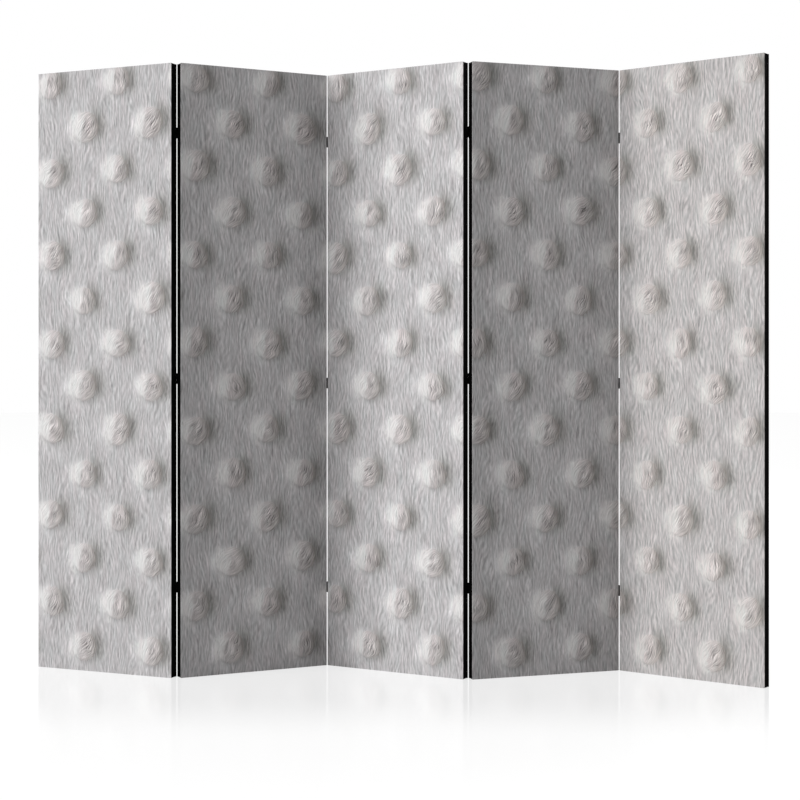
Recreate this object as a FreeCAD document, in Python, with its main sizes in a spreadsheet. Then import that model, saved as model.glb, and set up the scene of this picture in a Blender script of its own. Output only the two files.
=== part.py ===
import FreeCAD, Part
import os

import Sketcher
from FreeCAD import Placement, Rotation, Vector

# A folding screen of five tall panels that stand in a zigzag.
# Each panel is a pine stretcher frame with a printed canvas on its front, a black cloth on its back
# and black tape round its edges. Three small butt hinges join each panel to the next.
# Millimetres, +Z up, the printed fronts face -Y. The origin is on the floor, in the middle of the footprint.

# Driving dimensions
SIZES = {
    # one panel, outside
    "panel_width": 450,
    "panel_height": 1720,
    # sheets that cover the frame
    "canvas_sheet": 1,
    "cloth_sheet": 1,
    "tape_sheet": 1,
    # frame members: depth front to back, and faces as seen from the front
    "frame_depth": 26,
    "stile_face": 34,
    "end_rail_face": 42,
    "cross_rail_face": 34,
    # mortise and tenon joints
    "tenon_sheet": 8,
    "tenon_length": 22,
    "tenon_shoulder": 6,
    "end_haunch": 12,
    "mortise_clearance": 0.1,
    "mortise_end_gap": 0.5,
    # butt hinge: two leaves, three knuckles and a headed pin
    "hinge_height": 30,
    "leaf_reach": 18,
    "leaf_sheet": 0.7,
    "leaf_clearance": 0.15,
    "pin_radius": 0.7,
    "pin_clearance": 0.05,
    "barrel_wall": 0.6,
    "knuckle_gap": 0.3,
    "notch_clearance": 0.35,
    "pin_head_radius": 1.15,
    "pin_head_height": 0.4,
    # countersunk screws of the hinges
    "screw_length": 12,
    "screw_shank_radius": 1.25,
    "screw_head_radius": 2.1,
    "screw_tip": 2.5,
    "screw_fit": 0.05,
    "screw_inset": 6,
    "screw_line": 7,
    "recess_width": 0.5,
    "recess_length": 2.3,
    "recess_depth": 0.6,
    "pilot_end_gap": 0.5,
    # places of the hinges: down from the top, down from mid height, and up from the floor
    "ridge_top_drop": 193,
    "ridge_middle_drop": 23,
    "ridge_bottom_rise": 251,
    "valley_top_drop": 194,
    "valley_middle_drop": 37,
    "valley_bottom_rise": 229,
    # turn of each panel at rest, in degrees, positive with the right-hand edge nearer the viewer
    "turn_first": 24.4,
    "turn_second": -27.7,
    "turn_third": 30.8,
    "turn_fourth": -19.0,
    "turn_fifth": 37.7,
    # how far the cutting shapes run past what they cut
    "overrun": 1,
}
TURNS = ("turn_first", "turn_second", "turn_third", "turn_fourth", "turn_fifth")
PANELS = range(1, len(TURNS) + 1)
CROSS_RAIL_SHARES = (0.25, 0.5, 0.75)

# Sizes that follow from the driving ones
PANEL_DEPTH = "(Sizes.canvas_sheet + Sizes.frame_depth + Sizes.cloth_sheet)"
FRAME_HEIGHT = "(Sizes.panel_height - 2 * Sizes.tape_sheet)"
FRAME_WIDTH = "(Sizes.panel_width - 2 * Sizes.tape_sheet)"
RAIL_LENGTH = f"({FRAME_WIDTH} - 2 * Sizes.stile_face)"
BORE_RADIUS = "(Sizes.pin_radius + Sizes.pin_clearance)"
BARREL_RADIUS = f"({BORE_RADIUS} + Sizes.barrel_wall)"
HALF_GAP = "(Sizes.leaf_sheet + Sizes.leaf_clearance)"
PIN_OFFSET = BARREL_RADIUS
KNUCKLE_PITCH = "(Sizes.hinge_height / 3)"
END_KNUCKLE = f"({KNUCKLE_PITCH} - Sizes.knuckle_gap / 2)"
MORTISE_DEPTH = "(Sizes.tenon_length + Sizes.mortise_end_gap)"
SCREW_Y = f"(-{BARREL_RADIUS} - Sizes.screw_line)"
SCREW_Z = "(Sizes.hinge_height / 2 - Sizes.screw_inset)"
PILOT_RADIUS = "(Sizes.screw_shank_radius + Sizes.screw_fit)"
PILOT_DEPTH = "(Sizes.screw_length - Sizes.leaf_sheet + Sizes.pilot_end_gap)"

# Half turns that bring a hinge leaf or a screw to the side and the face of the panel that it serves
FLIPS = {
    ("right", "ridge"): Rotation(),
    ("left", "ridge"): Rotation(Vector(0, 1, 0), 180),
    ("right", "valley"): Rotation(Vector(1, 0, 0), 180),
    ("left", "valley"): Rotation(Vector(0, 0, 1), 180),
}
TURN_TO_X = Rotation(Vector(0, 1, 0), 90)

# Low end and height of each knuckle, counted from the middle of the hinge
KNUCKLES = {
    "bottom": ("(-Sizes.hinge_height / 2)", END_KNUCKLE),
    "middle": (f"(Sizes.knuckle_gap / 2 - {KNUCKLE_PITCH} / 2)", f"({KNUCKLE_PITCH} - Sizes.knuckle_gap)"),
    "top": (f"({KNUCKLE_PITCH} / 2 + Sizes.knuckle_gap / 2)", END_KNUCKLE),
}

doc = FreeCAD.newDocument("folding_screen")
sub_parts = []


# The sheet, and small helpers that tie objects to it

def make_sheet():
    """Writes every driving dimension into its own cell, with its name as the alias."""
    made = doc.addObject("Spreadsheet::Sheet", "Sizes")
    for row, (name, value) in enumerate(SIZES.items(), start=1):
        made.set(f"A{row}", name)
        made.set(f"B{row}", str(value))
        made.setAlias(f"B{row}", name)
    doc.recompute()
    return made


def bind(piece, **expressions):
    """Ties properties of an object to expressions of the sheet."""
    for name, expression in expressions.items():
        piece.setExpression(name, expression)
    return piece


def place(piece, x="0", y="0", z="0", rotation=Rotation()):
    """Puts an object at a point given by expressions, turned by a fixed rotation."""
    piece.Placement.Rotation = rotation
    for axis, expression in (("x", x), ("y", y), ("z", z)):
        if expression != "0":
            piece.setExpression(f"Placement.Base.{axis}", expression)
    return piece


def worth(expression):
    """The number that an expression of the sheet gives now."""
    return float(sheet.evalExpression(expression.replace("Sizes.", "")))


def box(name, length, width, height, x="0", y="0", z="0"):
    """A block from its low corner."""
    return place(bind(doc.addObject("Part::Box", name), Length=length, Width=width, Height=height), x, y, z)


def cylinder(name, radius, height, x="0", y="0", z="0", rotation=Rotation()):
    """A round bar from the middle of its low end."""
    return place(bind(doc.addObject("Part::Cylinder", name), Radius=radius, Height=height), x, y, z, rotation)


def cone(name, low_radius, high_radius, height, x="0", y="0", z="0", rotation=Rotation()):
    """A cone or a frustum from the middle of its low end."""
    made = bind(doc.addObject("Part::Cone", name), Radius1=low_radius, Radius2=high_radius, Height=height)
    return place(made, x, y, z, rotation)


def fuse(name, pieces):
    """One solid out of several that touch."""
    made = doc.addObject("Part::MultiFuse", name)
    made.Shapes = pieces
    return made


def cut(name, base, tools):
    """A piece with a set of tools taken out of it."""
    made = doc.addObject("Part::Cut", name)
    made.Base = base
    made.Tool = tools
    return made


def group(name, pieces):
    """Several separate solids that share one node."""
    made = doc.addObject("Part::Compound", name)
    made.Links = pieces
    return made


def copy_of(piece, name, x="0", y="0", z="0", rotation=Rotation()):
    """A linked copy of a piece that is made once."""
    made = doc.addObject("App::Link", name)
    made.LinkedObject = piece
    return place(made, x, y, z, rotation)


def finish(piece, node, placement):
    """Names a sub-part after its node and puts it in its place in the screen."""
    piece.Label = node
    piece.Placement = placement
    sub_parts.append(piece)


# Sketch helpers for the wooden members

def sketch_on(body, role, name, offset="0"):
    """An empty sketch on one of the body's own origin planes, moved along its normal by an expression."""
    plane = next(item for item in body.Origin.OriginFeatures if item.Role == role)
    sketch = body.newObject("Sketcher::SketchObject", name)
    sketch.AttachmentSupport = (plane, [""])
    sketch.MapMode = "FlatFace"
    if offset != "0":
        sketch.setExpression("AttachmentOffset.Base.z", offset)
    return sketch


def tie_distance(sketch, name, kind, places, expression):
    """Adds one named distance to a sketch and binds it to the sheet."""
    sketch.addConstraint(Sketcher.Constraint(kind, *places, worth(expression)))
    sketch.renameConstraint(sketch.ConstraintCount - 1, name)
    sketch.setExpression(f"Constraints.{name}", expression)


def add_rectangle(sketch, name, left, low, wide, high):
    """A closed rectangle held by four distances; zero puts an edge on the sketch's axis."""
    first = sketch.GeometryCount
    x_low, y_low = worth(left), worth(low)
    x_high, y_high = x_low + worth(wide), y_low + worth(high)
    corners = [Vector(x_low, y_low), Vector(x_high, y_low), Vector(x_high, y_high), Vector(x_low, y_high)]
    for start, end in zip(corners, corners[1:] + corners[:1]):
        sketch.addGeometry(Part.LineSegment(start, end))
    for side in range(4):
        sketch.addConstraint(Sketcher.Constraint("Coincident", first + side, 2, first + (side + 1) % 4, 1))
        sketch.addConstraint(Sketcher.Constraint("Vertical" if side % 2 else "Horizontal", first + side))
    for axis, kind, expression in (("left", "DistanceX", left), ("low", "DistanceY", low)):
        if expression == "0":
            ends = (first, 1, -2) if kind == "DistanceX" else (first, 1, -1)
            sketch.addConstraint(Sketcher.Constraint("PointOnObject", *ends))
        else:
            tie_distance(sketch, f"{name}_{axis}", kind, (-1, 1, first, 1), expression)
    tie_distance(sketch, f"{name}_wide", "DistanceX", (first, 1, first, 2), wide)
    tie_distance(sketch, f"{name}_high", "DistanceY", (first + 1, 1, first + 1, 2), high)


def add_circle(sketch, name, x, y, radius):
    """A circle held by its centre's two distances and its radius."""
    number = sketch.GeometryCount
    centre = Vector(worth(x), worth(y))
    sketch.addGeometry(Part.Circle(centre, Vector(0, 0, 1), worth(radius)))
    tie_distance(sketch, f"{name}_x", "DistanceX", (-1, 1, number, 3), x)
    tie_distance(sketch, f"{name}_y", "DistanceY", (-1, 1, number, 3), y)
    tie_distance(sketch, f"{name}_radius", "Radius", (number,), radius)


def pad(body, sketch, name, length):
    """Grows a sketch along its normal."""
    made = body.newObject("PartDesign::Pad", name)
    made.Profile = sketch
    bind(made, Length=length)
    return made


def pocket(body, sketch, name, depth, along_normal):
    """Cuts a sketch into the body, against its normal or along it."""
    made = body.newObject("PartDesign::Pocket", name)
    made.Profile = sketch
    made.Reversed = along_normal
    bind(made, Length=depth)
    return made


# Where the rails sit in the frame: bottom edge, face, and the shoulders below and above each tenon

def rail_levels():
    """Level, face, low shoulder and high shoulder of each rail, counted from the foot of the frame."""
    levels = {
        "bottom_rail": ("0", "Sizes.end_rail_face", "Sizes.end_haunch", "Sizes.tenon_shoulder"),
        "top_rail": (
            f"({FRAME_HEIGHT} - Sizes.end_rail_face)",
            "Sizes.end_rail_face",
            "Sizes.tenon_shoulder",
            "Sizes.end_haunch",
        ),
    }
    for number, share in enumerate(CROSS_RAIL_SHARES, start=1):
        levels[f"cross_rail_{number}"] = (
            f"({FRAME_HEIGHT} * {share} - Sizes.cross_rail_face / 2)",
            "Sizes.cross_rail_face",
            "Sizes.tenon_shoulder",
            "Sizes.tenon_shoulder",
        )
    return levels


# Where the hinges sit

def fold_at(panel, side):
    """Whether a panel's side folds at a ridge, pinned behind, or a valley, pinned in front, or not at all."""
    joint = panel if side == "right" else panel - 1
    if joint < 1 or joint >= len(TURNS):
        return None
    return "ridge" if joint % 2 else "valley"


def hinge_heights(fold):
    """Heights of the three hinges of a joint above the floor."""
    return (
        f"(Sizes.panel_height - Sizes.{fold}_top_drop)",
        f"(Sizes.panel_height / 2 - Sizes.{fold}_middle_drop)",
        f"Sizes.{fold}_bottom_rise",
    )


def pin_point(side, fold):
    """Place of a joint's pin in the frame of one panel, as two expressions."""
    x = f"(Sizes.panel_width + {HALF_GAP})" if side == "right" else f"(-{HALF_GAP})"
    y = f"({PANEL_DEPTH} + {PIN_OFFSET})" if fold == "ridge" else f"(-{PIN_OFFSET})"
    return x, y


def screw_depth_place(fold):
    """Place of the screw line between the front and the back of the panel."""
    if fold == "ridge":
        return f"({PANEL_DEPTH} - Sizes.screw_line)"
    return "Sizes.screw_line"


def screw_heights(fold):
    """Heights of all the screws along one side of a panel."""
    return [f"({height} {sign} {SCREW_Z})" for height in hinge_heights(fold) for sign in "+-"]


# Where the panels stand: each one is reached by stepping from pin to pin

def panel_places():
    """Placement of every panel at rest, and the pins between them, centred on the footprint."""
    places = []
    pins = []
    for panel, turn in zip(PANELS, TURNS):
        rotation = Rotation(Vector(0, 0, 1), -worth(f"Sizes.{turn}"))
        base = Vector(0, 0, 0)
        if pins:
            x, y = pin_point("left", fold_at(panel, "left"))
            base = pins[-1] - rotation.multVec(Vector(worth(x), worth(y), 0))
        places.append(Placement(base, rotation))
        if fold_at(panel, "right"):
            x, y = pin_point("right", fold_at(panel, "right"))
            pins.append(places[-1].multVec(Vector(worth(x), worth(y), 0)))
    footprint = FreeCAD.BoundBox()
    for spot in places:
        for x in (0, worth("Sizes.panel_width")):
            for y in (0, worth(PANEL_DEPTH)):
                footprint.add(spot.multVec(Vector(x, y, 0)))
    middle = footprint.Center
    return [Placement(spot.Base - middle, spot.Rotation) for spot in places], [pin - middle for pin in pins]


# Wooden members

def make_stile(panel, side):
    """An upright with its mortises and the pilot holes of its hinge screws; its outer face is at x = 0."""
    node = f"panel_{panel}_{side}_stile"
    body = doc.addObject("PartDesign::Body", node)
    section = sketch_on(body, "XY_Plane", f"{node}_section")
    add_rectangle(section, "section", "0", "0", "Sizes.stile_face", "Sizes.frame_depth")
    pad(body, section, f"{node}_bar", FRAME_HEIGHT)

    mortises = sketch_on(body, "YZ_Plane", f"{node}_mortises", "Sizes.stile_face")
    for rail, (level, face, low, high) in rail_levels().items():
        add_rectangle(
            mortises,
            rail,
            "((Sizes.frame_depth - Sizes.tenon_sheet) / 2 - Sizes.mortise_clearance)",
            f"({level} + {low} - Sizes.mortise_clearance)",
            "(Sizes.tenon_sheet + 2 * Sizes.mortise_clearance)",
            f"({face} - {low} - {high} + 2 * Sizes.mortise_clearance)",
        )
    pocket(body, mortises, f"{node}_mortise_cut", MORTISE_DEPTH, along_normal=False)

    fold = fold_at(panel, side)
    if fold:
        pilots = sketch_on(body, "YZ_Plane", f"{node}_pilots")
        from_front = f"({screw_depth_place(fold)} - Sizes.canvas_sheet)"
        y = from_front if side == "left" else f"(Sizes.frame_depth - {from_front})"
        for number, height in enumerate(screw_heights(fold), start=1):
            add_circle(pilots, f"pilot_{number}", y, f"({height} - Sizes.tape_sheet)", PILOT_RADIUS)
        pocket(body, pilots, f"{node}_pilot_cut", f"({PILOT_DEPTH} - Sizes.tape_sheet)", along_normal=True)
    return body


def make_rail(name, face, low, high):
    """A rail between the stiles, with a tenon at each end; its left shoulder is at x = 0."""
    body = doc.addObject("PartDesign::Body", name)
    section = sketch_on(body, "YZ_Plane", f"{name}_section")
    add_rectangle(section, "section", "0", "0", "Sizes.frame_depth", face)
    pad(body, section, f"{name}_bar", RAIL_LENGTH)
    tenon = sketch_on(body, "YZ_Plane", f"{name}_tenon", "(-Sizes.tenon_length)")
    side = "((Sizes.frame_depth - Sizes.tenon_sheet) / 2)"
    add_rectangle(tenon, "tenon", side, low, "Sizes.tenon_sheet", f"({face} - {low} - {high})")
    pad(body, tenon, f"{name}_tenons", f"({RAIL_LENGTH} + 2 * Sizes.tenon_length)")
    return body


def make_frame(panel, spot):
    """The stretcher frame of one panel: two stiles, the end rails and the cross rails."""
    foot = Vector(worth("Sizes.tape_sheet"), worth("Sizes.canvas_sheet"), worth("Sizes.tape_sheet"))
    far = Vector(worth(FRAME_WIDTH), worth("Sizes.frame_depth"), 0)
    half_turn = Rotation(Vector(0, 0, 1), 180)
    finish(make_stile(panel, "left"), f"panel_{panel}_left_stile", spot * Placement(foot, Rotation()))
    finish(make_stile(panel, "right"), f"panel_{panel}_right_stile", spot * Placement(foot + far, half_turn))

    shoulder = foot + Vector(worth("Sizes.stile_face"), 0, 0)
    cross_rails = []
    for rail, (level, face, low, high) in rail_levels().items():
        made = make_rail(f"panel_{panel}_{rail}", face, low, high)
        if rail.startswith("cross"):
            cross_rails.append(place(made, z=level))
        else:
            raised = Placement(shoulder + Vector(0, 0, worth(level)), Rotation())
            finish(made, f"panel_{panel}_{rail}", spot * raised)
    rails = group(f"panel_{panel}_cross_rails", cross_rails)
    finish(rails, f"panel_{panel}_cross_rails", spot * Placement(shoulder, Rotation()))


# Sheets over the frame

def make_covers(panel, spot):
    """The printed canvas in front and the black cloth behind, both the full size of the panel."""
    canvas = box(f"panel_{panel}_canvas_sheet", "Sizes.panel_width", "Sizes.canvas_sheet", "Sizes.panel_height")
    finish(canvas, f"panel_{panel}_front_canvas", spot)
    cloth = box(f"panel_{panel}_cloth_sheet", "Sizes.panel_width", "Sizes.cloth_sheet", "Sizes.panel_height")
    behind = Vector(0, worth(PANEL_DEPTH) - worth("Sizes.cloth_sheet"), 0)
    finish(cloth, f"panel_{panel}_back_cloth", spot * Placement(behind, Rotation()))


def make_side_tape(panel, side):
    """Tape down one side of a panel, pierced where hinge screws pass."""
    x = "0" if side == "left" else "(Sizes.panel_width - Sizes.tape_sheet)"
    name = f"panel_{panel}_{side}_tape"
    strip = box(name, "Sizes.tape_sheet", "Sizes.frame_depth", "Sizes.panel_height", x, "Sizes.canvas_sheet")
    fold = fold_at(panel, side)
    if not fold:
        return strip
    holes = []
    for number, height in enumerate(screw_heights(fold), start=1):
        holes.append(cylinder(
            f"{name}_hole_{number}",
            PILOT_RADIUS,
            "(Sizes.tape_sheet + 2 * Sizes.overrun)",
            f"({x} - Sizes.overrun)",
            screw_depth_place(fold),
            height,
            TURN_TO_X,
        ))
    return cut(f"{name}_pierced", strip, fuse(f"{name}_holes", holes))


def make_tape(panel, spot):
    """The four strips of black tape round the edges of a panel."""
    strips = [make_side_tape(panel, "left"), make_side_tape(panel, "right")]
    for end, level in (("bottom", "0"), ("top", "(Sizes.panel_height - Sizes.tape_sheet)")):
        strips.append(box(
            f"panel_{panel}_{end}_tape",
            FRAME_WIDTH,
            "Sizes.frame_depth",
            "Sizes.tape_sheet",
            "Sizes.tape_sheet",
            "Sizes.canvas_sheet",
            level,
        ))
    finish(group(f"panel_{panel}_tapes", strips), f"panel_{panel}_edge_tape", spot)


# Hinges. A leaf is modelled about its pin at the origin, for a panel that lies towards -X and -Y

def make_leaf(name, own_knuckles):
    """A leaf with the knuckles that it owns out of the three along the barrel."""
    notch = f"({BARREL_RADIUS} + Sizes.notch_clearance)"
    solids = [box(
        f"{name}_plate",
        "Sizes.leaf_sheet",
        f"(Sizes.leaf_reach - {notch})",
        "Sizes.hinge_height",
        f"(-{HALF_GAP})",
        "(-Sizes.leaf_reach)",
        "(-Sizes.hinge_height / 2)",
    )]
    for knuckle in own_knuckles:
        low, tall = KNUCKLES[knuckle]
        solids.append(cylinder(f"{name}_knuckle_{knuckle}", BARREL_RADIUS, tall, z=low))
        solids.append(box(
            f"{name}_tab_{knuckle}",
            "Sizes.leaf_sheet",
            notch,
            tall,
            f"(-{HALF_GAP})",
            f"(-{notch})",
            low,
        ))
    tools = [cylinder(
        f"{name}_bore",
        BORE_RADIUS,
        "(Sizes.hinge_height + 2 * Sizes.overrun)",
        z="(-Sizes.hinge_height / 2 - Sizes.overrun)",
    )]
    for number, sign in enumerate(("", "-"), start=1):
        tools.append(cone(
            f"{name}_countersink_{number}",
            PILOT_RADIUS,
            "(Sizes.screw_head_radius + Sizes.screw_fit)",
            "Sizes.leaf_sheet",
            f"(-{HALF_GAP})",
            SCREW_Y,
            f"({sign}{SCREW_Z})",
            TURN_TO_X,
        ))
    return cut(name, fuse(f"{name}_solid", solids), fuse(f"{name}_tools", tools))


def make_pin():
    """A pin with a head at each end of the barrel."""
    half = "Sizes.hinge_height / 2"
    return fuse("hinge_pin", [
        cylinder("pin_shaft", "Sizes.pin_radius", "Sizes.hinge_height", z=f"(-{half})"),
        cylinder("pin_top_head", "Sizes.pin_head_radius", "Sizes.pin_head_height", z=f"({half})"),
        cylinder(
            "pin_bottom_head",
            "Sizes.pin_head_radius",
            "Sizes.pin_head_height",
            z=f"(-{half} - Sizes.pin_head_height)",
        ),
    ])


def make_screw():
    """A countersunk wood screw along -X, its head flush at x = 0, with a cross recess and a pointed tip."""
    shank = "(Sizes.screw_length - Sizes.leaf_sheet - Sizes.screw_tip)"
    solid = fuse("screw_solid", [
        cone("screw_tip", "0", "Sizes.screw_shank_radius", "Sizes.screw_tip", "(-Sizes.screw_length)",
             rotation=TURN_TO_X),
        cylinder("screw_shank", "Sizes.screw_shank_radius", shank, "(Sizes.screw_tip - Sizes.screw_length)",
                 rotation=TURN_TO_X),
        cone("screw_head", "Sizes.screw_shank_radius", "Sizes.screw_head_radius", "Sizes.leaf_sheet",
             "(-Sizes.leaf_sheet)", rotation=TURN_TO_X),
    ])
    deep = "(Sizes.recess_depth + Sizes.overrun)"
    along, across = "Sizes.recess_length", "Sizes.recess_width"
    start = "(-Sizes.recess_depth)"
    recess = fuse("screw_recess", [
        box("recess_upright", deep, across, along, start, f"(-{across} / 2)", f"(-{along} / 2)"),
        box("recess_level", deep, along, across, start, f"(-{along} / 2)", f"(-{across} / 2)"),
    ])
    return cut("hinge_screw", solid, recess)


def make_hinges(joint, spots, leaves, pin):
    """The three hinges between a panel and the next one; the left-hand leaf keeps the pin."""
    fold = fold_at(joint, "right")
    title = f"hinge_{joint}_{joint + 1}"
    for side, panel, kind in (("right", joint, "outer"), ("left", joint + 1, "middle")):
        x, y = pin_point(side, fold)
        copies = [
            copy_of(leaves[kind], f"{title}_{kind}_leaf_{number}", x, y, height, FLIPS[side, fold])
            for number, height in enumerate(hinge_heights(fold), start=1)
        ]
        finish(group(f"{title}_{kind}_group", copies), f"{title}_{kind}_leaves", spots[panel - 1])
    x, y = pin_point("right", fold)
    pins = [
        copy_of(pin, f"{title}_pin_{number}", x, y, height)
        for number, height in enumerate(hinge_heights(fold), start=1)
    ]
    finish(group(f"{title}_pin_group", pins), f"{title}_pins", spots[joint - 1])


def make_screws(panel, spot, screw):
    """All the hinge screws of one panel, along the sides that fold."""
    copies = []
    for side in ("left", "right"):
        fold = fold_at(panel, side)
        if not fold:
            continue
        x = "(Sizes.panel_width + Sizes.leaf_sheet)" if side == "right" else "(-Sizes.leaf_sheet)"
        for number, height in enumerate(screw_heights(fold), start=1):
            name = f"panel_{panel}_{side}_screw_{number}"
            copies.append(copy_of(screw, name, x, screw_depth_place(fold), height, FLIPS[side, fold]))
    finish(group(f"panel_{panel}_screw_group", copies), f"panel_{panel}_hinge_screws", spot)


def check_and_write():
    """Stops at the first failed object or shape, then writes one file for each sub-part."""
    doc.recompute()
    for item in doc.Objects:
        if "Invalid" in item.State or "Error" in item.State:
            raise RuntimeError(f"{item.Name} failed: {item.State}")
    for piece in sub_parts:
        if piece.Shape.isNull() or not piece.Shape.isValid() or not piece.Shape.Solids:
            raise RuntimeError(f"{piece.Label} has no valid shape")
    os.makedirs("parts", exist_ok=True)
    for piece in sub_parts:
        piece.Shape.exportStep(f"parts/{piece.Label}.step")
        print(f"{piece.Label}: {len(piece.Shape.Solids)} solids, {piece.Shape.Volume:.1f} mm3")


sheet = make_sheet()
spots, pins = panel_places()
hinge_leaves = {
    "outer": make_leaf("outer_leaf", ("bottom", "top")),
    "middle": make_leaf("middle_leaf", ("middle",)),
}
hinge_pin = make_pin()
hinge_screw = make_screw()
for panel, spot in zip(PANELS, spots):
    make_frame(panel, spot)
    make_covers(panel, spot)
    make_tape(panel, spot)
    make_screws(panel, spot, hinge_screw)
for joint in PANELS[:-1]:
    make_hinges(joint, spots, hinge_leaves, hinge_pin)
check_and_write()
for joint, pin in enumerate(pins, start=1):
    print(f"pin {joint}: x {pin.x:.4f}, y {pin.y:.4f}")
for panel, spot in zip(PANELS, spots):
    print(f"panel {panel}: x {spot.Base.x:.4f}, y {spot.Base.y:.4f}")
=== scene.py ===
"""A folding room divider of five canvas panels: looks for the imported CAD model."""

import math

import bpy
import numpy as np
from mathutils import Matrix, Vector


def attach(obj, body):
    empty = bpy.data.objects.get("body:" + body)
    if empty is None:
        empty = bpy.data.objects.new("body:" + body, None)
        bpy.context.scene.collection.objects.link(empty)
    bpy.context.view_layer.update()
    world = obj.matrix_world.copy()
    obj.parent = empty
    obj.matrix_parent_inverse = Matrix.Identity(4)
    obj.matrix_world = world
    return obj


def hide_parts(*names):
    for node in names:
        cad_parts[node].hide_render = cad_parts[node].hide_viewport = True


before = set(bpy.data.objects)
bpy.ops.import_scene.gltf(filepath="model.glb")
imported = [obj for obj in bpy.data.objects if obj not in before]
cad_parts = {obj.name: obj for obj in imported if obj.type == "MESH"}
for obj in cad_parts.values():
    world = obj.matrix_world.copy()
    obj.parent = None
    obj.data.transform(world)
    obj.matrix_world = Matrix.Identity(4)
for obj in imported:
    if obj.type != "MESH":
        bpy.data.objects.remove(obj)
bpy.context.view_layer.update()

MM = 0.001  # metres
PANELS = (1, 2, 3, 4, 5)


# Where each panel is, read from the CAD

class Panel:
    """A panel and its own frame: x across, y from front to back, z up, in mm from its low corner."""

    def __init__(self, number):
        self.number = number
        self.body = f"panel_{number}"
        points = self.points("front_canvas")
        flat = points[:, :2] - points[:, :2].mean(0)
        along = np.linalg.svd(flat, full_matrices=False)[2][0]
        along = along * np.sign(along[0])
        self.axes = np.array([[along[0], along[1], 0], [-along[1], along[0], 0], [0, 0, 1]])
        self.base = (points @ self.axes.T).min(0)
        low, high = self.extent("front_canvas")
        self.width, self.height = (high - low)[[0, 2]]

    def points(self, node):
        """The corners of one of the panel's nodes, in metres, as rows."""
        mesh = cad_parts[f"panel_{self.number}_{node}"].data
        points = np.empty(len(mesh.vertices) * 3)
        mesh.vertices.foreach_get("co", points)
        return points.reshape(-1, 3)

    def extent(self, node):
        """Lowest and highest corner of a node of the panel, in mm in the panel's frame."""
        inside = (self.points(node) @ self.axes.T - self.base) / MM
        return inside.min(0), inside.max(0)

    def matrix(self):
        """The panel's frame as a matrix, from its metres to the scene's."""
        placed = Matrix.Identity(4)
        for row in range(3):
            for column in range(3):
                placed[row][column] = self.axes[column][row]
        placed.translation = Vector(self.base @ self.axes)
        return placed


# Shader values with arithmetic, so that a material reads like its formula

class Wire:
    """A value in a shader, which adds, subtracts, multiplies and divides."""

    def __init__(self, tree, socket):
        self.tree, self.socket = tree, socket

    def op(self, kind, *others, first=None):
        node = self.tree.nodes.new("ShaderNodeMath")
        node.operation = kind
        values = (self, *others) if first is None else (first, self, *others)
        for place, value in enumerate(values):
            plug(self.tree, node.inputs[place], value)
        return Wire(self.tree, node.outputs[0])

    def __add__(self, other):
        return self.op("ADD", other)

    def __sub__(self, other):
        return self.op("SUBTRACT", other)

    def __mul__(self, other):
        return self.op("MULTIPLY", other)

    def __truediv__(self, other):
        return self.op("DIVIDE", other)

    def __rsub__(self, other):
        return self.op("SUBTRACT", first=other)

    __radd__ = __add__
    __rmul__ = __mul__

    def ramp(self, low, high):
        """0 below low and 1 above high, or the other way round, with a smooth step between."""
        node = self.tree.nodes.new("ShaderNodeMapRange")
        node.interpolation_type = "SMOOTHSTEP"
        start, end = (0, 1) if low < high else (1, 0)
        limits = {"From Min": min(low, high), "From Max": max(low, high), "To Min": start, "To Max": end}
        for name, value in limits.items():
            node.inputs[name].default_value = value
        self.tree.links.new(self.socket, node.inputs["Value"])
        return Wire(self.tree, node.outputs["Result"])

    def bell(self, centre, left, right):
        """A bell curve with its own spread on each side of its centre."""
        away = self - centre
        spread = away.op("GREATER_THAN", 0.0) * (right - left) + left
        share = away / spread
        return (share * share * -0.5).op("EXPONENT")


def plug(tree, entry, value):
    """Links a wire to a shader's entry, or sets the entry to a number."""
    if isinstance(value, Wire):
        tree.links.new(value.socket, entry)
    else:
        entry.default_value = value


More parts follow.
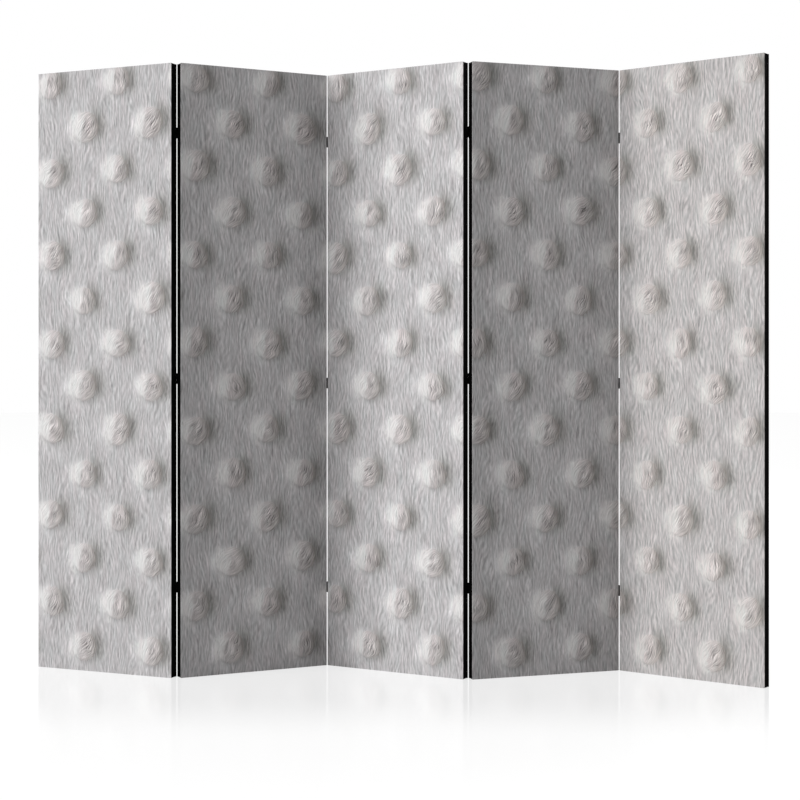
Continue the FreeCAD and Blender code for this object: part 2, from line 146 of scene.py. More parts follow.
class Look:
    """A material, with its Principled shader and the few nodes that the formulas need."""

    def __init__(self, name, **constants):
        self.material = bpy.data.materials.new(name)
        self.material.use_nodes = True
        self.tree = self.material.node_tree
        self.shader = self.tree.nodes["Principled BSDF"]
        for key, value in constants.items():
            self.shader.inputs[key.replace("_", " ")].default_value = value

    def node(self, kind, **settings):
        made = self.tree.nodes.new("ShaderNode" + kind)
        for key, value in settings.items():
            setattr(made, key, value)
        return made

    def wire(self, socket):
        return Wire(self.tree, socket)

    def split(self, socket):
        node = self.node("SeparateXYZ")
        self.tree.links.new(socket, node.inputs[0])
        return [self.wire(out) for out in node.outputs]

    def attribute(self, name):
        return self.split(self.node("Attribute", attribute_name=name).outputs["Vector"])

    def place(self):
        """The three coordinates of a piece's own space, in mm."""
        return [axis * 1000 for axis in self.split(self.node("TexCoord").outputs["Object"])]

    def join(self, x, y, z=0.0):
        node = self.node("CombineXYZ")
        for entry, value in zip(node.inputs, (x, y, z)):
            plug(self.tree, entry, value)
        return node.outputs[0]

    def noise(self, x, y, z=0.0, detail=2.0, roughness=0.5):
        node = self.node("TexNoise")
        node.inputs["Scale"].default_value = 1
        node.inputs["Detail"].default_value = detail
        node.inputs["Roughness"].default_value = roughness
        self.tree.links.new(self.join(x, y, z), node.inputs["Vector"])
        return self.wire(node.outputs[0])

    def streaks(self, x, y, step, scales, seed, detail, roughness=0.5):
        """Streaky noise at a place and a step beside it. Their difference looks like light from the side."""
        wide, tall = scales
        return [self.noise(place * wide, y * tall, seed, detail, roughness) for place in (x, x + step)]

    def draw(self, x, y, z=0.0):
        """Three random numbers that are the same wherever x, y and z are."""
        node = self.node("TexWhiteNoise")
        self.tree.links.new(self.join(x, y, z), node.inputs["Vector"])
        return self.split(node.outputs["Color"])

    def colour(self, red, green, blue):
        node = self.node("CombineColor")
        for entry, value in zip(node.inputs, (red, green, blue)):
            plug(self.tree, entry, value)
        self.tree.links.new(node.outputs[0], self.shader.inputs["Base Color"])

    def roughness(self, value):
        plug(self.tree, self.shader.inputs["Roughness"], value)

    def bump(self, height, distance, strength):
        """Gives the surface a fine relief, whose height is distance in metres where the value is 1."""
        node = self.node("Bump")
        node.inputs["Strength"].default_value = strength
        node.inputs["Distance"].default_value = distance
        plug(self.tree, node.inputs["Height"], height)
        self.tree.links.new(node.outputs[0], self.shader.inputs["Normal"])


# The print: a plush ground with raised round dots on a chequered lattice that runs on from panel to panel.
# Lengths are in mm.
COLUMN_FIRST = 50.0
COLUMN_PITCH = 112.2
COLUMN_CLOSING = 0.22  # how much nearer each column is to the one before it
ROW_FIRST = 40.0
ROW_PITCH = 123.7
DOT_RADIUS = 41.5
DOT_SHIFT = 1.5  # how far left of its lattice place a dot's ball sits
DOT_RELIEF = 0.7  # how far the middle of a dot stands out
PRINT_TONE = 0.5  # the reflectance of the plain ground
# painted light and shade: a factor for each panel's canvas, which draws the lit panels lighter and the shaded
# ones darker
PAINTED_PANEL_LIGHT = {1: 1.04, 2: 0.97, 3: 1.11, 4: 0.97, 5: 1.08}  # of each panel's canvas
# painted shade: the canvas of these panels is drawn darker towards both sides, most towards the right
SHADE_PAINTED_AT_SIDES = (2, 4)
WARM_FROM, WARM_TO = 1700.0, 1900.0  # along the print, where the last panel gets warmer
WEAVE = 11.4  # turns the threads' pitch of 0.55 mm into an angle

# Streaks: the noise's scales across and down, per mm, and the step between its two samples
FIBRES, FIBRE_STEP = (0.23, 0.038), 4.4
STRANDS, STRAND_STEP = (0.2, 0.036), -2.4
FOLDS, FOLD_STEP = (0.11, 0.03), -3.0

# The sheets, in mm
PROUD = 0.25  # how far the sheets stand proud of the CAD's flat ones
WRAP = 0.3  # how far they reach round the side edges
BORDER_RADIUS, BORDER_FALL = 0.5, 0.8  # of a rounded border, and the factor of its fall
HEM_END = 14.4  # from the back cloth's border
SLACK = 1.4  # of the back cloth over the frame's open bays


def lattice(run, drop):
    """Column and row numbers of a place on the print, given in mm along it and down it. Dots lie where
    both are whole and their sum is even. A slow wander moves each dot a little off the regular places."""
    root = np.sqrt(COLUMN_PITCH ** 2 - 4 * COLUMN_CLOSING * (run - COLUMN_FIRST))
    column = (COLUMN_PITCH - root) / (2 * COLUMN_CLOSING)
    row = (drop - ROW_FIRST) / ROW_PITCH
    column = column + 0.03 * np.sin(run / 61 + 2.1 * np.sin(drop / 143))
    column = column + 0.02 * np.sin(drop / 47 + run / 133)
    row = row + 0.028 * np.sin(drop / 71 + 1.7 * np.sin(run / 119))
    row = row + 0.02 * np.sin(run / 53 - drop / 97)
    return column, row


def dot_offset(column, row):
    """How far a place is from its nearest dot, in mm across and down."""
    first, second = (column + row) / 2, (column - row) / 2
    first, second = first - np.round(first), second - np.round(second)
    return (first + second) * COLUMN_PITCH + DOT_SHIFT, (first - second) * ROW_PITCH


def printed_canvas():
    """The printed plush. All lengths are in mm on the print: run and drop from its corner, across and
    down from the middle of the nearest dot."""
    look = Look("printed_canvas", Roughness=0.86, Specular_IOR_Level=0.1)
    run, drop, painted_panel_light_and_shade = look.attribute("run")
    column, row = look.attribute("lattice")[:2]
    first, second = (column + row) * 0.5, (column - row) * 0.5
    first_whole, second_whole = first.op("ROUND"), second.op("ROUND")
    chance = look.draw(first_whole, second_whole)
    first, second = first - first_whole, second - second_whole
    across, down = (first + second) * COLUMN_PITCH + DOT_SHIFT, (first - second) * ROW_PITCH
    warm_end = run.ramp(WARM_FROM, WARM_TO)

    # the ground: near-upright fibres that wander, in tufts
    lean = (look.noise(run / 45, drop / 140, 3.0, 0.0) - 0.5) * 34
    other = (look.noise(run / 40, drop / 120, 13.0, 0.0) - 0.5) * 34
    coarse, next_one = look.streaks(run + lean, drop, FIBRE_STEP, FIBRES, 1.0, 0.6)
    medium = look.noise((run + other) * 0.28, drop * 0.016, 9.0, 0.0) - 0.5
    fine = look.noise((run + other) * 0.45, drop * 0.065, 5.0, 1.0) - 0.5
    cloud = look.noise(run / 80, drop / 100, 2.0, 2.0) - 0.5
    fibre = (coarse - next_one).ramp(-0.26, 0.26) - 0.5
    tuft = look.noise((run + other) / 11, drop / 30, 17.0, 1.0).ramp(0.3, 0.7) - 0.5
    ground = 1 + fibre * 0.31 + medium * 0.6 + fine * 0.5 + cloud * 0.05 + tuft * 0.09

    # the ball of each dot: a ragged outline, strands like meridians, and folds and hollows in its middle
    ragged = (look.noise(across / 6, down / 8, chance[0] * 40, 2.0) - 0.5) * 10
    distance = (across * across + down * down).op("SQRT") * (1.05 - chance[1] * 0.1)
    side = across / distance.op("MAXIMUM", 1.0)
    below = down / distance.op("MAXIMUM", 1.0)
    soft = side.ramp(-0.15, -0.75)
    ball = (distance + ragged + fibre * 3).ramp(DOT_RADIUS + 2, DOT_RADIUS - 2) * (1 - soft)
    ball = ball + (distance + ragged + fibre * 10).ramp(DOT_RADIUS + 8, DOT_RADIUS - 14) * soft
    turn = chance[1] * 0.75 + 0.02
    cosine, sine = turn.op("COSINE"), turn.op("SINE")
    level, upright = across * cosine + down * sine, down * cosine - across * sine
    share = upright / (DOT_RADIUS + 6)
    meridian = level / ((1 - share * share).op("MAXIMUM", 0.2).op("SQRT"))
    meridian = meridian + (look.noise(across / 40, down / 40, chance[2] * 50, 1.0) - 0.5) * 22
    seed = chance[2] * 60
    strands, beside = look.streaks(meridian, upright, STRAND_STEP, STRANDS, seed, 1.5, 0.6)
    middle = across.bell(12.0, 22.0, 18.0) * down.bell(0.0, 22.0, 24.0)
    folds = look.streaks(meridian, upright, FOLD_STEP, FOLDS, seed + 7, 1.0)
    dark, pale = [(fold - 0.5).op("ABSOLUTE").ramp(0.07, 0.0) for fold in folds]
    crease = (dark - pale * 0.8) * middle
    lift = (strands - beside) * (0.45 + middle * (0.65 + chance[2] * 0.8))
    arc = (distance + ragged * 0.5).bell(DOT_RADIUS - 9, 4.0, 3.0) * (across + down * 1.3).ramp(20.0, 52.0)
    body = 0.98 + (strands - 0.5) * 0.22 + lift - crease * (0.1 + chance[0] * 0.4)
    body = body + fine * 0.22 + arc * chance[1] * 0.16
    hollow = (look.noise(meridian / 15, upright / 32, seed + 3, 0.0) - 0.5) * middle
    body = body * (1 + warm_end * below.ramp(-0.5, 0.5) * 0.08) + hollow * 1.2

    # the printed light: bright on the ball's left and beside it, dark on its right, thin lines at its rim
    glow = 0.44 - warm_end * 0.1
    edge = across + down * 0.2 + 12 + (chance[0] - 0.5) * 16 + (strands - 0.5) * 34 + ragged
    inner = edge.ramp(7.0, -8.0) * (1 - (down - warm_end * 9 - 3).op("ABSOLUTE").ramp(14.0, 44.0) * 0.6)
    outer = (distance + fibre * 14 + fine * 34 + tuft * 16).bell(DOT_RADIUS, 10.0, 7.0)
    outer = outer * (side - below * (warm_end * 0.25 + 0.08)).ramp(-0.1, -0.7)
    light = inner * ball * (1 + lift * 0.8) + outer * (1 - ball)
    spill = across.bell(-56.0, 14.0, 14.0) * down.bell(-2.0, 22.0, 22.0)
    spill = (spill + across.bell(-22.0, 16.0, 16.0) * down.bell(56.0, 9.0, 16.0) * 0.4) * (1 - warm_end)
    shade = (distance + fine * 12).bell(DOT_RADIUS + 2, 9.0, 15.0) * (side + fine * 0.3).ramp(0.0, 0.9)
    shade = shade * (1 - below.ramp(0.25, 0.8) * 0.65) * (1 - below.ramp(-0.3, -0.8) * 0.2)
    shade = shade + ball * (across + down * 0.3).ramp(-2.0, 32.0) * (1 - shade) * 0.36
    rim = (distance + ragged).bell(DOT_RADIUS, 1.8, 2.2) * (0.12 + fine * 0.6)
    rim = rim * side.bell(-0.25, 0.4, 0.35) * below.ramp(-0.5, 0.3)
    line = distance.bell(DOT_RADIUS + 2, 4.0, 6.0) * below.ramp(0.2, 0.85) * (1 - warm_end * 0.9)
    halo = distance.bell(DOT_RADIUS - 6, 8.0, 8.0) * below.ramp(-0.35, -0.9)
    base = ground * (1 - ball) + body * ball
    base = base + (1.02 - base) * light * (0.5 - ball * 0.15)
    brighter = 1 + light * glow + spill * (0.17 + tuft * 0.22) * (1 - ball) + halo * 0.13
    value = base * brighter * (1 - shade * 0.5) * (1 - line * 0.15) * (1 - rim)
    # painted light and shade: each panel's own factor, with the painted shade towards the sides of panels 2
    # and 4
    value = value * painted_panel_light_and_shade * PRINT_TONE

    # pinkish and greenish drift, warmer on the balls, in the shade and towards the last panel's end
    hue = look.noise((run + lean) * 0.06, drop * 0.014, 11.0, 2.0) - 0.5
    plain = ball * (1 - light)
    look.colour(
        value * (1.012 + hue * 0.07 + plain * 0.034 + shade * 0.015 + warm_end * (0.014 + fibre * 0.03)),
        value * (0.987 - hue * 0.04 + light * 0.011 - plain * 0.006 + shade * 0.015),
        value * (1.0 - hue * 0.03 - light * 0.011 - plain * 0.021 - shade * 0.03 - warm_end * 0.017),
    )

    # canvas weave: threads across and down
    warp = (run * WEAVE).op("SINE")
    weft = (drop * WEAVE).op("SINE")
    nap = look.noise(run * 0.9, drop * 0.9, 4.0, 2.0)
    look.bump(warp * weft * 0.5 + nap * 0.8, distance=0.00012, strength=0.6)
    return look.material


def cloth_look():
    """Plain black woven cloth with slubs, lint, soft wrinkles and a turned hem, with a painted shade line
    along the hem's inner edge and painted highlight lines over the frame's edges."""
    look = Look(
        "black_cloth", Roughness=0.85, Specular_IOR_Level=0.2, Sheen_Weight=0.12, Sheen_Roughness=0.4,
    )
    x, z, edge = look.attribute("place")
    # painted highlight: lighter lines where the cloth is stretched over the frame's edges
    wear_and_edge_highlight = look.attribute("wear_and_edge_highlight")[0]
    pitch = 0.8
    turn = 2 * math.pi / pitch
    threads = (x * turn).op("SINE") * (z * turn).op("SINE")
    upright = look.noise(x * 0.55, z * 0.02, 3.0, 2.0) - 0.5
    level = look.noise(x * 0.02, z * 0.55, 8.0, 2.0) - 0.5
    patches_and_side_shade = look.noise(x / 120, z / 170, 1.0, 3.0) - 0.5
    lint = look.noise(x * 0.5, z * 0.5, 6.0, 2.0).ramp(0.72, 0.78)
    # painted shade: a dark line along the inner edge of the turned hem, where the cloth steps down
    hem_edge_shade = edge.bell(HEM_END, 0.5, 0.8)
    value = 1 + threads * 0.2 + upright * 0.9 + level * 0.9 + patches_and_side_shade * 0.7 + lint * 0.8 + wear_and_edge_highlight * 0.45
    # the painted shade line darkens the cloth, and the hem band is drawn a fifth lighter
    value = value * (1 - hem_edge_shade * 0.6) * (1 + edge.ramp(HEM_END, HEM_END - 0.6) * 0.2) * 0.024
    look.colour(value, value, value * 1.05)
    wrinkle = look.noise(x / 60 + z / 400, z / 130, 2.0, 2.0) * 12 * edge.ramp(15.0, 60.0)
    look.bump(threads * 0.5 + upright + level + wrinkle, distance=0.0002, strength=0.8)
    return look.material


def tape_look():
    """Black woven tape with cross ribs and a plain woven selvedge at each side."""
    look = Look("black_tape", Roughness=0.95, Specular_IOR_Level=0.015)
    x, y, z = look.place()
    along = look.attribute("run")[0]
    rib_pitch, thread_pitch, middle = 1.3, 0.6, 14
    rib = (along * (2 * math.pi / rib_pitch)).op("SINE")
    thread = (y * (2 * math.pi / thread_pitch)).op("SINE")
    selvedge = (y - middle).op("ABSOLUTE").ramp(11.4, 12.0)
    weave = rib * (1 - selvedge) + thread * selvedge
    wear = look.noise(x / 9, z / 23, y / 5, 3.0)
    value = (1 + weave * 0.6 + (wear - 0.5) * 0.9 + selvedge * 0.6) * 0.0025
    look.colour(value, value, value * 1.05)
    look.bump(weave + thread * 0.3, distance=0.0002, strength=0.7)
    return look.material


def pine_look(name, grain_axis):
    """Planed pine, its grain along x or z."""
    look = Look(name, Roughness=0.6, Specular_IOR_Level=0.3)
    x, y, z = look.place()
    along, across = (z, x) if grain_axis == "z" else (x, z)
    drift = (look.noise(across / 45, along / 400, y / 45, 2.0) - 0.5) * 34
    ring = ((across + drift + y * 0.4) * 0.75).op("SINE") * 0.5 + 0.5
    pore = look.noise(across * 1.6, along * 0.03, y * 1.6, 3.0)
    knot = look.noise(across / 28, along / 95, 7.0, 1.0).ramp(0.74, 0.83)
    late = ring * ring * 0.3 + (pore - 0.5) * 0.3 + knot * 0.6
    look.colour(0.62 - late * 0.28, 0.42 - late * 0.27, 0.22 - late * 0.16)
    look.bump(ring * 0.4 + pore, distance=0.0001, strength=0.6)
    return look.material


def metal_look(name, value, metallic, roughness, scratch, gloss=0.5):
    """Painted or brushed metal with fine scratches, and a little brighter where it is worn."""
    look = Look(name, Metallic=metallic, Specular_IOR_Level=gloss)
    x, y, z = look.place()
    brush = look.noise(x * 3, y * 3, z * 0.5, 3.0, 0.6)
    wear_and_edge_highlight = look.noise(x / 3, y / 3, z / 3, 3.0).ramp(0.62, 0.75)
    level = (1 + (brush - 0.5) * scratch + wear_and_edge_highlight * scratch) * value
    look.colour(level, level, level * 1.02)
    look.roughness(roughness + (brush - 0.5) * 0.25)
    look.bump(brush, distance=0.00005, strength=0.5)
    return look.material


# Meshes, in mm in a panel's frame

def spaced(stops, step):
    """Numbers from the first stop to the last, through every stop and no further apart than step."""
    out = [stops[0]]
    for low, high in zip(stops, stops[1:]):
        count = max(1, math.ceil((high - low) / step - 1e-9))
        out += [low + (high - low) * part / count for part in range(1, count + 1)]
    return np.array(out)


def add_piece(name, panel, points, faces, material):
    """A smooth mesh, from points in mm in the panel's frame, that rides on the panel."""
    mesh = bpy.data.meshes.new(name)
    mesh.from_pydata((np.asarray(points) * MM).tolist(), [], [list(map(int, face)) for face in faces])
    mesh.update()
    mesh.validate()
    mesh.materials.append(material)
    mesh.polygons.foreach_set("use_smooth", [True] * len(mesh.polygons))
    piece = bpy.data.objects.new(name, mesh)
    bpy.context.scene.collection.objects.link(piece)
    piece.matrix_world = panel.matrix()
    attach(piece, panel.body)
    return piece


def set_vectors(piece, name, values):
    """Stores a vector for each point of a piece, which its material reads as an attribute."""
    layer = piece.data.attributes.new(name, "FLOAT_VECTOR", "POINT")
    layer.data.foreach_set("vector", np.ascontiguousarray(values, dtype=np.float32).ravel())


def grid_quads(columns, rows, first=0, flip=False):
    """Quads of a grid whose points are numbered row by row."""
    column, row = np.meshgrid(np.arange(columns - 1), np.arange(rows - 1))
    corner = (first + row * columns + column).ravel()
    quads = np.stack([corner, corner + 1, corner + columns + 1, corner + columns], 1)
    return quads[:, ::-1] if flip else quads


def sheet_mesh(xs, zs, front, back):
    """A closed sheet over a grid: y is front(x, z) on its front and back(x, z) on its back."""
    x, z = np.meshgrid(xs, zs)
    columns, rows, count = len(xs), len(zs), x.size
    points = np.concatenate([
        np.stack([x.ravel(), front(x, z).ravel(), z.ravel()], 1),
        np.stack([x.ravel(), back(x, z).ravel(), z.ravel()], 1),
    ])
    number = np.arange(count).reshape(rows, columns)
    rim = np.concatenate([number[0, :-1], number[:-1, -1], number[-1, :0:-1], number[:0:-1, 0]])
    after = np.roll(rim, -1)
    walls = np.stack([rim, rim + count, after + count, after], 1)
    quads = grid_quads(columns, rows), grid_quads(columns, rows, count, True)
    return points, np.concatenate([*quads, walls])


def spans(levels, gap):
    """Lowest and highest level of each group of levels, where groups are more than gap apart."""
    levels = np.unique(np.round(levels, 1))
    breaks = np.flatnonzero(np.diff(levels) > gap)
    return list(zip(levels[np.r_[0, breaks + 1]], levels[np.r_[breaks, len(levels) - 1]]))


def edge_distance(x, z, panel):
    """How far a place on a sheet is from the sheet's nearest border."""
    return np.minimum(np.minimum(x, panel.width - x) + WRAP, np.minimum(z, panel.height - z))


def rounded(distance, radius):
    """How far a rounded border falls back at a distance from its edge."""
    short = np.clip(radius - distance, 0, radius)
    return radius - np.sqrt(np.maximum(radius ** 2 - short ** 2, 0))


def across_stops(border, width):
    """Stops from side to side of a sheet that reaches round both edges, for the same border at each."""
    return [-WRAP] + border[1:] + [width - stop for stop in reversed(border[1:])] + [width + WRAP]


def make_canvas(panel, material):
    """The printed canvas, stretched over the front. The dots stand a little proud."""
    low, high = panel.extent("front_canvas")
    width, height = panel.width, panel.height
    border, step = [0, 0.12, 0.4, 0.9], 6.0
    xs = spaced(across_stops(border, width), step)
    zs = spaced(border + [height - stop for stop in reversed(border)], step)

    def relief(x, z):
        column, row = lattice((panel.number - 1) * width + x, height - z)
        across, down = dot_offset(column, row)
        share = np.clip(1 - (across ** 2 + down ** 2) / (DOT_RADIUS + 3) ** 2, 0, 1)
        return DOT_RELIEF * share ** 0.8 * np.clip(edge_distance(x, z, panel) / 5, 0, 1)

    def front(x, z):
        fall = rounded(edge_distance(x, z, panel), BORDER_RADIUS) * BORDER_FALL
        return low[1] - PROUD + fall - relief(x, z)

    def back(x, z):
        return np.full_like(x, high[1])

    points, faces = sheet_mesh(xs, zs, front, back)
    piece = add_piece(f"canvas_{panel.number}", panel, points, faces, material)
    run, drop = (panel.number - 1) * width + points[:, 0], height - points[:, 2]
    share = points[:, 0] / width * 2 - 1
    # painted shade on panels 2 and 4: their canvas is drawn lighter in the middle and darker towards both
    # sides, most towards the right
    patches_and_side_shade = np.ones_like(run)
    if panel.number in SHADE_PAINTED_AT_SIDES:
        patches_and_side_shade = 1.08 - 0.18 * share ** 2 - 0.05 * share
    # the third entry is the painted light and shade of the panel, read by the print's material
    set_vectors(piece, "run", np.stack([run, drop, patches_and_side_shade * PAINTED_PANEL_LIGHT[panel.number]], 1))
    column, row = lattice(run, drop)
    set_vectors(piece, "lattice", np.stack([column, row, np.zeros_like(run)], 1))
    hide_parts(f"panel_{panel.number}_front_canvas")
    width * MM
    height * MM


def bay_edges(panel):
    """Where the frame's open bays begin and end: one pair across and four pairs up."""
    left, right = panel.extent("left_stile")[1][0], panel.extent("right_stile")[0][0]
    rails = spans(panel.points("cross_rails")[:, 2] / MM, gap=100)
    bounds = [panel.extent("bottom_rail")[1][2]] + [edge for pair in rails for edge in pair]
    bounds.append(panel.extent("top_rail")[0][2])
    return (left, right), list(zip(bounds[::2], bounds[1::2]))


def make_backing(panel, material):
    """Black cloth over the back, turned in at its border and a little slack over the frame's open bays."""
    low, high = panel.extent("back_cloth")
    width, height = panel.width, panel.height
    hem, step = [0, 0.15, 0.5, 1.0, 13.0, 13.6, HEM_END, 15.0], 12.0
    (left, right), bays = bay_edges(panel)
    beside = (-3, -1.2, 0, 1.2, 3)
    inner = [edge + off for edge in (left, right) for off in beside]
    outer = across_stops(hem, width)
    xs = spaced(outer[:len(hem)] + inner + outer[len(hem):], step)
    inner = [edge + off for bay in bays for edge in bay for off in beside]
    zs = spaced(hem + inner + [height - stop for stop in reversed(hem)], step)

    def slack(x, z):
        side = np.sin(np.pi * np.clip((x - left) / (right - left), 0, 1))
        out = np.zeros_like(x)
        for bottom, top in bays:
            part = np.clip((z - bottom) / (top - bottom), 0, 1)
            out = np.maximum(out, side ** 0.7 * np.sin(np.pi * part) ** 0.7)
        pulls = 0.12 * np.sin(z / 9.7 + 1.3 * np.sin(x / 31))
        pulls = pulls * np.clip(1 - np.minimum(x, width - x) / 70, 0, 1)
        return out * SLACK + pulls * np.clip(edge_distance(x, z, panel) / 20 - 0.9, 0, 1)

    def back(x, z):
        distance = edge_distance(x, z, panel)
        turned = 0.35 * np.clip((distance - 13) / 2, 0, 1)
        return high[1] + PROUD - rounded(distance, BORDER_RADIUS) * BORDER_FALL - turned - slack(x, z)

    def front(x, z):
        over_bays = edge_distance(x, z, panel) > 40
        return low[1] - np.clip(slack(x, z) - 0.05, 0, None) * over_bays

    points, faces = sheet_mesh(xs, zs, front, back)
    piece = add_piece(f"backing_{panel.number}", panel, points, faces, material)
    x, z = points[:, 0], points[:, 2]
    set_vectors(piece, "place", np.stack([x, z, edge_distance(x, z, panel)], 1))
    # painted highlight: lines where the cloth is stretched over the frame's edges, for the cloth's material
    sides = np.minimum(np.abs(x - left), np.abs(x - right))
    levels = np.min([np.abs(z - edge) for bay in bays for edge in bay], 0)
    outside = (x < left - 3) | (x > right + 3) | (z < bays[0][0] - 3) | (z > bays[-1][1] + 3)
    wear_and_edge_highlight = np.clip(1.2 - np.minimum(sides, levels) / 2.5, 0, 1) * ~outside
    set_vectors(piece, "wear_and_edge_highlight", np.stack([wear_and_edge_highlight, wear_and_edge_highlight, wear_and_edge_highlight], 1))
    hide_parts(f"panel_{panel.number}_back_cloth")
    hems = 28  # a hem of 14 mm at each side
    (width + hems) * MM
    (height + hems) * MM
    width * height * MM * MM


def hinge_spans(panel, other):
    """Lowest and highest level of each hinge between two panels. Empty where no hinge joins them."""
    name = f"hinge_{min(panel.number, other)}_{max(panel.number, other)}_outer_leaves"
    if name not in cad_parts:
        return []
    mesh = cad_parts[name].data
    return spans([vertex.co.z / MM for vertex in mesh.vertices], gap=100)


def tape_stations(panel, corner):
    """Places along the tape, round the panel's four edges with rounded corners: a point on the inner line,
    the way out from there, the length so far, and how much of its bead the tape shows. Hinge leaves press
    it flat."""
    width, height = panel.width, panel.height
    steps, ease = 5, 6.0
    sides = (
        ((0, 0), (1, 0), (0, 1)), ((width, 0), (0, 1), (-1, 0)),
        ((width, height), (-1, 0), (0, -1)), ((0, height), (0, -1), (1, 0)),
    )
    stations = []
    gone = 0.0
    for (x, z), ahead, inward in sides:
        ahead, inward = np.array(ahead, float), np.array(inward, float)
        centre = np.array([x, z], float) + corner * (ahead + inward)
        for step in range(steps + 1):
            turn = math.pi / 2 * step / steps
            outward = -ahead * math.cos(turn) - inward * math.sin(turn)
            stations.append((centre, outward, gone + corner * turn, 1))
        gone += corner * math.pi / 2
        run = (width if ahead[0] else height) - 2 * corner
        levels = [(run * share, 1) for share in (0.25, 0.5, 0.75)]
        hinges = hinge_spans(panel, panel.number + (1 if x else -1)) if ahead[1] else ()
        for hinge in hinges:
            start, end = sorted(abs(level - centre[1]) for level in hinge)
            levels += [(start - ease, 1), (start, 0), (end, 0), (end + ease, 1)]
        for level, proud in sorted(levels):
            stations.append((centre + ahead * level, -inward, gone + level, proud))
        gone += run
    return stations


def make_tape(panel, material):
    """One strip of woven tape round the four edges of the panel, with a bead along each selvedge."""
    low, high = panel.extent("edge_tape")
    front, back = low[1], high[1]
    width, height = panel.width, panel.height
    thick, corner, bead = 1.0, 2.0, PROUD * 1.4
    # each corner of the tape's section: its y, how far it is sunk in, and its share of the bead's height
    profile = [
        (front, thick, 0), (front, 0.2, 0.5), (front + 0.3, 0.05, 1), (front + 0.8, 0.0, 1),
        (front + 1.6, 0.06, 0.3), (back - 1.6, 0.06, 0.3),
        (back - 0.8, 0.0, 1), (back - 0.3, 0.05, 1), (back, 0.2, 0.5), (back, thick, 0),
    ]
    stations = tape_stations(panel, corner)
    points, along = [], []
    for centre, outward, length, proud in stations:
        for y, sunk, lifted in profile:
            spot = centre + outward * (corner - sunk + lifted * proud * bead)
            points.append((spot[0], y, spot[1]))
            along.append(length)
    wide, count = len(profile), len(stations)
    faces = []
    for station in range(count):
        here, following = station * wide, (station + 1) % count * wide
        for place in range(wide):
            beside = (place + 1) % wide
            faces.append((here + place, following + place, following + beside, here + beside))
    piece = add_piece(f"tape_{panel.number}", panel, points, faces, material)
    set_vectors(piece, "run", np.stack([along, np.zeros(len(along)), np.zeros(len(along))], 1))
    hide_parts(f"panel_{panel.number}_edge_tape")
    flat = ((back - front) * MM, 2 * (width + height) * MM)


def make_staples(panel, material):
    """Staples that hold the back cloth's hem, as bent wires."""
    back = panel.extent("back_cloth")[1][1]
    width, height = panel.width, panel.height
    inset, half, wire, sides, pitch = 7.0, 5.0, 0.35, 8, 91
    from_end, from_side = 40, 60
    upright, level = height - 2 * from_end, width - 2 * from_side
    rows = (
        (inset, from_end, (0, 1), upright), (width - inset, from_end, (0, 1), upright),
        (from_side, inset, (1, 0), level), (from_side, height - inset, (1, 0), level),
    )
    spots = []
    for x, z, direction, length in rows:
        count = round(length / pitch)
        for number in range(count + 1):
            share = length * number / count
            spots.append((np.array([x, z]) + np.array(direction) * share, np.array(direction, float)))
    # the wire's line: place along the staple, and height over the cloth
    leg = [(-half, -1.0), (-half, -0.25), (-half + 0.25, 0.15), (-half + 0.8, 0.3)]
    bend = leg + [(-place, rise) for place, rise in reversed(leg)]
    points, faces = [], []
    for spot, direction in spots:
        start = len(points)
        across = np.array([-direction[1], direction[0]])
        for number, (place, rise) in enumerate(bend):
            before, after = bend[max(number - 1, 0)], bend[min(number + 1, len(bend) - 1)]
            ahead = np.array([after[0] - before[0], after[1] - before[1]])
            ahead = ahead / np.linalg.norm(ahead)
            for part in range(sides):
                angle = 2 * math.pi * part / sides
                off = wire * math.cos(angle)
                lift = wire * math.sin(angle)
                flat = spot + direction * (place - ahead[1] * lift) + across * off
                points.append((flat[0], back + rise + ahead[0] * lift, flat[1]))
        for ring in range(len(bend) - 1):
            for part in range(sides):
                beside = (part + 1) % sides
                low, high = start + ring * sides, start + (ring + 1) * sides
                faces.append((low + part, low + beside, high + beside, high + part))
        faces.append(tuple(start + part for part in reversed(range(sides))))
        faces.append(tuple(start + (len(bend) - 1) * sides + part for part in range(sides)))
    add_piece(f"staples_{panel.number}", panel, points, faces, material)


# The object

panels = [Panel(number) for number in PANELS]
canvas = printed_canvas()
cloth = cloth_look()
tape = tape_look()
pine = {"z": pine_look("pine_upright", "z"), "x": pine_look("pine_level", "x")}
hinge_metal = metal_look("hinge_metal", value=0.003, metallic=0.0, roughness=0.6, scratch=0.8, gloss=0.04)
screw_metal = metal_look("screw_metal", value=0.008, metallic=0.0, roughness=0.45, scratch=0.9, gloss=0.2)
staple_metal = metal_look("staple_metal", value=0.5, metallic=1.0, roughness=0.35, scratch=0.5)
pin_metal = metal_look("hinge_pin", value=0.012, metallic=0.3, roughness=0.5, scratch=0.5, gloss=0.1)

for panel in panels:
    make_canvas(panel, canvas)
    make_backing(panel, cloth)
    make_tape(panel, tape)
    make_staples(panel, staple_metal)

# what is in a CAD node's name, its material, and the bevel on its edges
CAD_LOOKS = (
    ("_stile", pine["z"], 0), ("_rail", pine["x"], 0), ("_leaves", hinge_metal, 0.12 * MM),
    ("_pins", pin_metal, 0.1 * MM), ("_screws", screw_metal, 0),
)
for name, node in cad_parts.items():
    for part_of_name, material, bevel in CAD_LOOKS:
        if part_of_name in name:
            node.data.materials.clear()
            node.data.materials.append(material)
            if bevel:
                modifier = node.modifiers.new("softened edges", "BEVEL")
                modifier.width, modifier.segments = bevel, 2
                modifier.limit_method, modifier.angle_limit = "ANGLE", math.radians(40)


# Studio: white surroundings, a pale floor with a faint reflection, a soft key lamp from the left and a
# weaker lamp from behind

EYE_LEVEL = 0.86  # the camera's height in metres, half the divider's


def grey(level):
    return (level, level, level, 1)


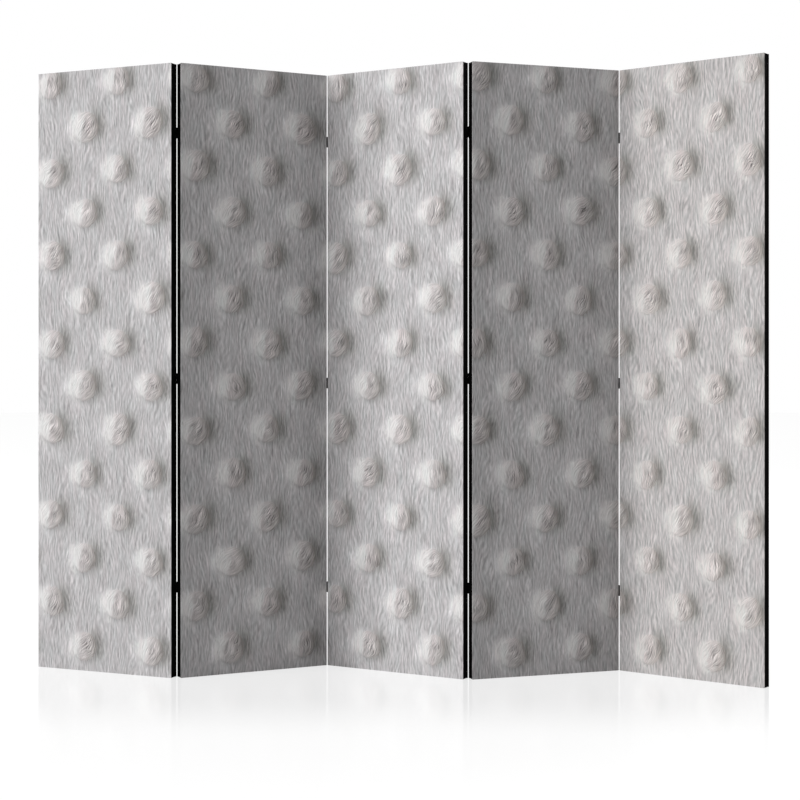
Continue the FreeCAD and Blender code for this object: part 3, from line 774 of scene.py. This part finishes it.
def shader(tree, kind, **constants):
    """The output of a new shader node with constants on its entries."""
    node = tree.nodes.new("ShaderNode" + kind)
    for entry, value in constants.items():
        node.inputs[entry].default_value = value
    return node.outputs[0]


def combine(tree, kind, *sources):
    """A new shader node whose first entries are linked to the sources."""
    node = tree.nodes.new("ShaderNode" + kind)
    for entry, source in zip(node.inputs, sources):
        tree.links.new(source, entry)
    return node


def studio_world():
    """Plain light from all sides, which the camera, gloss and glass see as white."""
    world = bpy.data.worlds.new("studio")
    bpy.context.scene.world = world
    world.use_nodes = True
    tree = world.node_tree
    tree.nodes.clear()
    rays = tree.nodes.new("ShaderNodeLightPath").outputs
    kinds = ("Camera", "Glossy", "Transmission")
    camera, gloss, glass = [Wire(tree, rays[f"Is {kind} Ray"]) for kind in kinds]
    seen = camera.op("MAXIMUM", gloss).op("MAXIMUM", glass)
    plain = shader(tree, "Background", Color=grey(1), Strength=0.4)
    white = shader(tree, "Background", Color=grey(1))
    mix = combine(tree, "MixShader", seen.socket, plain, white)
    combine(tree, "OutputWorld", mix.outputs[0])


def studio_floor():
    """A pale floor with the divider's shadow, and a faint reflection that fades towards the camera."""
    mesh = bpy.data.meshes.new("floor")
    half, level = 30.0, -0.0002
    corners = [(-half, -half, level), (half, -half, level), (half, half, level), (-half, half, level)]
    mesh.from_pydata(corners, [], [(0, 1, 2, 3)])
    floor = bpy.data.objects.new("floor", mesh)
    bpy.context.scene.collection.objects.link(floor)
    material = bpy.data.materials.new("floor")
    material.use_nodes = True
    mesh.materials.append(material)
    tree = material.node_tree
    tree.nodes.clear()

    # what the camera sees: a glow, a matt share for the shadow, and further back a reflection instead of glow
    place = tree.nodes.new("ShaderNodeTexCoord").outputs["Object"]
    depth = Wire(tree, combine(tree, "SeparateXYZ", place).outputs["Y"])
    gloss = depth.ramp(-0.85, -0.3) * 0.17 + depth.ramp(-1.7, -0.7) * 0.05
    glow = tree.nodes.new("ShaderNodeEmission")
    plug(tree, glow.inputs["Strength"], 0.93 - gloss)
    shadow = shader(tree, "BsdfDiffuse", Color=grey(0.15))
    mirror = combine(tree, "BsdfGlossy", combine(tree, "CombineColor", *[gloss.socket] * 3).outputs[0])
    mirror.inputs["Roughness"].default_value = 0.1
    seen = combine(tree, "AddShader", glow.outputs[0], shadow)
    seen = combine(tree, "AddShader", seen.outputs[0], mirror.outputs[0])

    # other rays meet a matt floor
    matt = shader(tree, "BsdfDiffuse", Color=grey(0.8))
    camera_ray = tree.nodes.new("ShaderNodeLightPath").outputs["Is Camera Ray"]
    mix = combine(tree, "MixShader", camera_ray, matt, seen.outputs[0])
    combine(tree, "OutputMaterial", mix.outputs[0])


def lamp(name, place, size, power):
    """A square soft box that faces the middle of the divider. Its place and size are in metres."""
    data = bpy.data.lights.new(name, "AREA")
    data.shape, data.size, data.energy = "SQUARE", size, power
    made = bpy.data.objects.new(name, data)
    bpy.context.scene.collection.objects.link(made)
    made.location = place
    made.rotation_mode = "QUATERNION"
    made.rotation_quaternion = (Vector(place) - Vector((0, 0, EYE_LEVEL))).to_track_quat("Z", "Y")


def make_camera():
    """The camera that fits the panels' edges in the photograph, level and without a turn."""
    data = bpy.data.cameras.new("camera")
    data.sensor_width, data.lens = 36.0, 76.726
    data.shift_y = -0.037
    data.clip_start, data.clip_end = 0.1, 100
    camera = bpy.data.objects.new("camera", data)
    bpy.context.scene.collection.objects.link(camera)
    camera.location = (0.0233, -4.8065, EYE_LEVEL)
    camera.rotation_euler = (math.radians(90), 0, 0)
    bpy.context.scene.camera = camera


studio_world()
studio_floor()
lamp("key", place=(-18.6, -6.1, 4.7), size=6.0, power=2850)
lamp("back", place=(5.5, 7.0, 3.6), size=3.0, power=420)
make_camera()
bpy.context.scene.view_settings.view_transform = "Standard"
